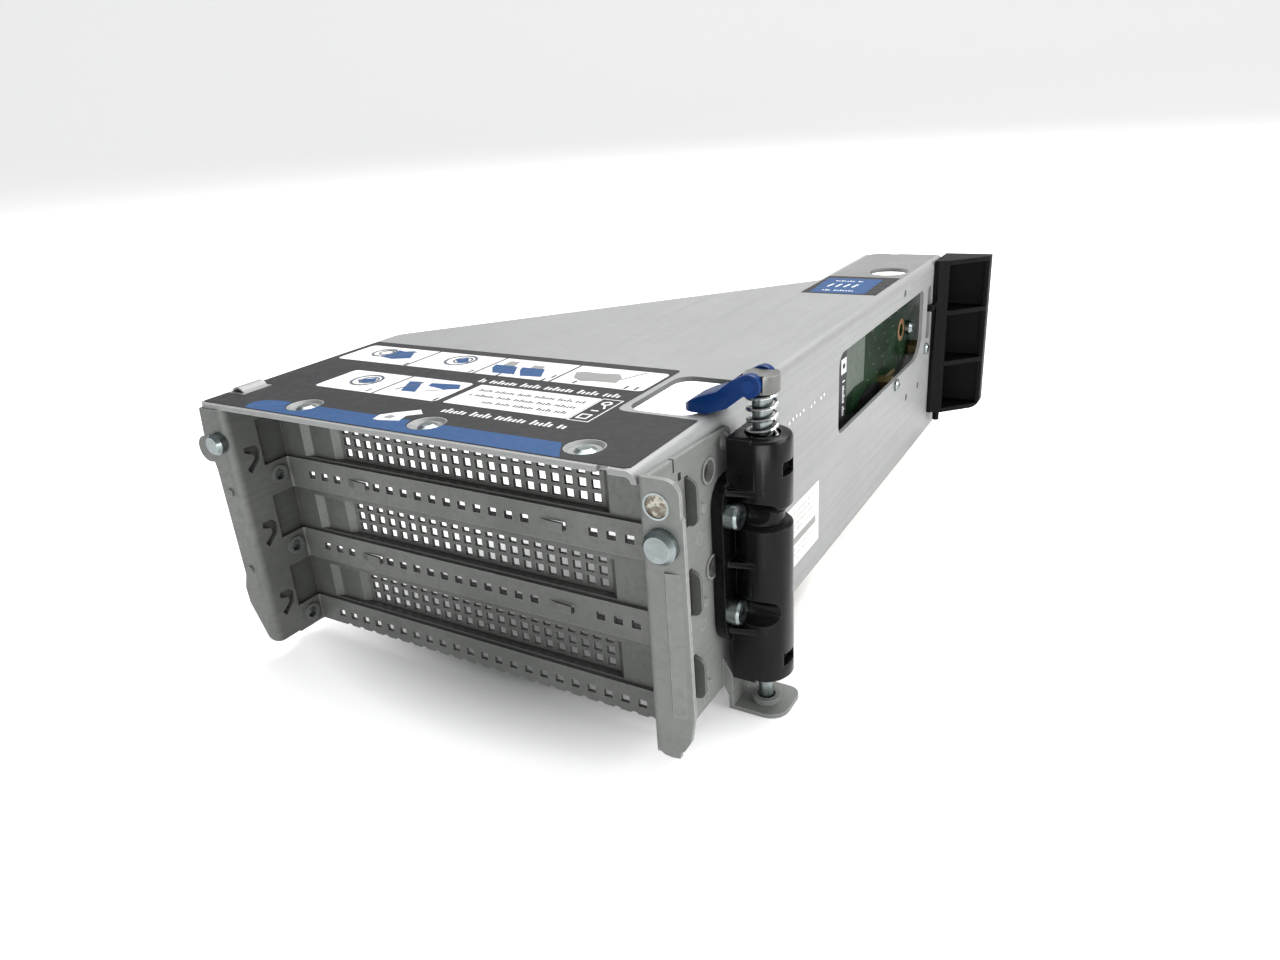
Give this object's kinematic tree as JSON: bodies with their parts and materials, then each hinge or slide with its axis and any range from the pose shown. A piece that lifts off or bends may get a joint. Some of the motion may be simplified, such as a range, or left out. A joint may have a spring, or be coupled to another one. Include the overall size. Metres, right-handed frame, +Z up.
{
  "type": "riser cage bracket",
  "caption": "Folded sheet-steel cage that holds expansion cards beside a riser board, with vented slot covers, locating flanges and a sprung captive screw with a folding lever.",
  "frame": {"origin": "centre of the part's overall box in X and Y, at the level of its lowest point, on which it stands", "axes": "+Y along the side wall from the slotted front towards the baffle at the back, +X from the flange of the slot panel towards the side wall and the captive screw, +Z up towards the top plate"},
  "size_m": [0.1427, 0.23, 0.079],
  "materials": {
    "zinc_sheet": "satin zinc-plated sheet steel",
    "panel_steel": "zinc-plated sheet steel, matt",
    "bracket_steel": "zinc-plated sheet steel, matt",
    "cover_steel": "plain sheet steel, matt",
    "screw_steel": "bright zinc",
    "board_green": "solder-masked glass fibre board",
    "socket_black": "moulded black plastic",
    "brass_post": "plain brass",
    "baffle_black": "moulded black plastic",
    "housing_black": "moulded black plastic, slightly glossy",
    "collar_steel": "plain steel",
    "spring_steel": "bright spring wire",
    "cap_steel": "turned steel, matt",
    "lever_blue": "moulded blue plastic",
    "label_black": "printed film",
    "label_white": "printed paper film"
  },
  "bodies": {
    "cage": {"main_frame": "zinc_sheet", "io_panel": "panel_steel", "latch_bracket": "bracket_steel", "slot_cover_top": "cover_steel", "slot_cover_middle": "cover_steel", "slot_cover_bottom": "cover_steel", "cover_screws": "screw_steel", "front_rivets": "screw_steel", "tab_rivets": "bracket_steel", "flange_rivet": "bracket_steel", "left_stud": "screw_steel", "right_stud": "screw_steel", "riser_board": "board_green", "card_socket_top": "socket_black", "card_socket_middle": "socket_black", "card_socket_bottom": "socket_black", "board_standoffs": "brass_post", "board_screws": "screw_steel", "end_baffle": "baffle_black", "latch_housing": "housing_black", "housing_screws": "screw_steel", "front_label": "label_black", "rear_label": "label_black", "side_label": "label_white"},
    "screw": {"captive_screw": "screw_steel", "screw_collar": "collar_steel", "screw_cap": "cap_steel", "lever_pin": "screw_steel"},
    "spring": {"latch_spring": "spring_steel"},
    "handle": {"lever": "lever_blue"}
  },
  "joints": [
    {"name": "screw_lift", "type": "slide", "parent": "cage", "child": "spring", "axis": [0, 0, 1], "range_m": [0, 0.005], "deforming": ["latch_spring"]},
    {"name": "screw_turn", "type": "hinge", "parent": "spring", "child": "screw", "pos_m": [0.06355, -0.07625, 0.04], "axis": [0, 0, 1], "continuous": true},
    {"name": "handle_fold", "type": "hinge", "parent": "screw", "child": "handle", "pos_m": [0.06255, -0.07625, 0.0766], "axis": [0, 1, 0], "range_deg": [0, 90]}
  ]
}
